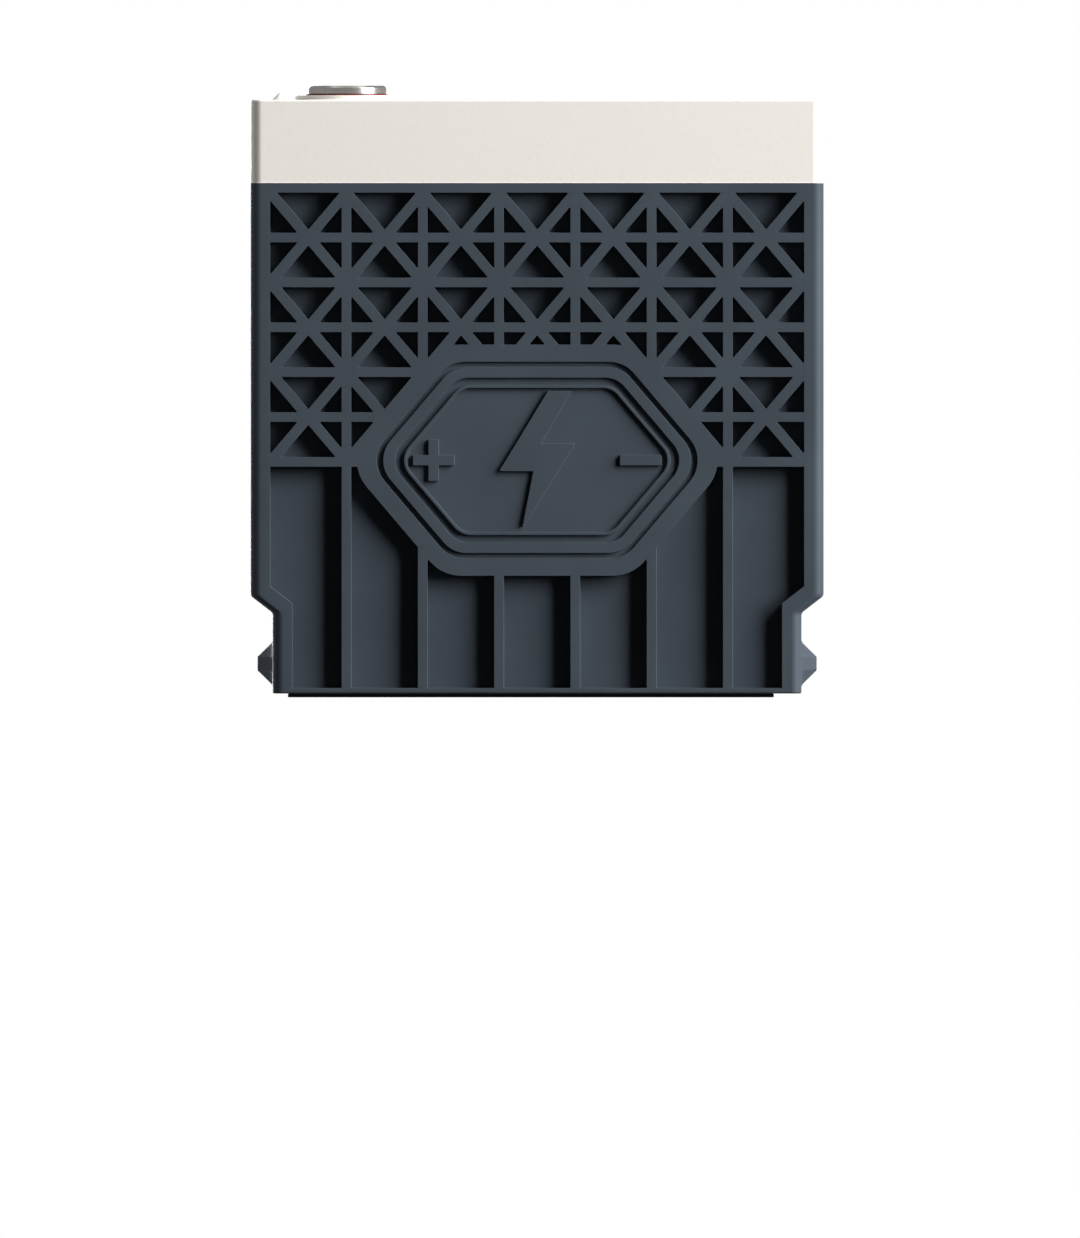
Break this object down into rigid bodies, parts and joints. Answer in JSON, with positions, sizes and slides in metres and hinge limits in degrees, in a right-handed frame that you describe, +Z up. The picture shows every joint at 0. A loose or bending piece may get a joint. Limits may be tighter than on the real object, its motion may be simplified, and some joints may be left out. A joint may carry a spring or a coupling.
{
  "type": "motorcycle battery",
  "caption": "Sealed lead-acid motorcycle battery with a lattice-ribbed case, pale lid, two threaded top terminals at one side and hold-down ledges along the base.",
  "frame": {"origin": "on the ground, under the middle of the battery's box", "axes": "+Z up from the base pad to the terminals; -Y is the front face with the badge; +X is to the right seen from the front, so the terminals are at -X"},
  "size_m": [0.166, 0.126, 0.1772],
  "materials": {
    "case_plastic": "fine satin, moulded blue-grey plastic",
    "lid_plastic": "smooth satin, moulded warm off-white plastic",
    "black_rubber": "matt",
    "porous_plastic": "sintered, porous",
    "positive_paste": "pasted lead grid, dark brown and matt",
    "negative_paste": "pasted lead grid, grey and matt",
    "glass_mat": "fine glass felt",
    "cast_lead": "dull cast lead",
    "plated_terminal": "tin plating, finely turned",
    "red_plastic": "gloss",
    "black_plastic": "gloss"
  },
  "bodies": {
    "root": {"case": "case_plastic", "lid": "lid_plastic", "base_pad": "black_rubber", "vent_strip": "lid_plastic", "flame_arrestor": "porous_plastic", "vent_valve_1": "black_rubber", "vent_valve_2": "black_rubber", "vent_valve_3": "black_rubber", "vent_valve_4": "black_rubber", "vent_valve_5": "black_rubber", "vent_valve_6": "black_rubber", "positive_plates_1": "positive_paste", "positive_plates_2": "positive_paste", "positive_plates_3": "positive_paste", "positive_plates_4": "positive_paste", "positive_plates_5": "positive_paste", "positive_plates_6": "positive_paste", "negative_plates_1": "negative_paste", "negative_plates_2": "negative_paste", "negative_plates_3": "negative_paste", "negative_plates_4": "negative_paste", "negative_plates_5": "negative_paste", "negative_plates_6": "negative_paste", "glass_mats_1": "glass_mat", "glass_mats_2": "glass_mat", "glass_mats_3": "glass_mat", "glass_mats_4": "glass_mat", "glass_mats_5": "glass_mat", "glass_mats_6": "glass_mat", "positive_strap_1": "cast_lead", "positive_strap_2": "cast_lead", "positive_strap_3": "cast_lead", "positive_strap_4": "cast_lead", "positive_strap_5": "cast_lead", "positive_strap_6": "cast_lead", "negative_strap_1": "cast_lead", "negative_strap_2": "cast_lead", "negative_strap_3": "cast_lead", "negative_strap_4": "cast_lead", "negative_strap_5": "cast_lead", "negative_strap_6": "cast_lead", "cell_welds": "cast_lead", "positive_post": "cast_lead", "negative_post": "cast_lead", "post_seals": "black_rubber", "positive_terminal": "plated_terminal", "negative_terminal": "plated_terminal", "positive_ring": "red_plastic", "negative_ring": "black_plastic"}
  },
  "joints": []
}
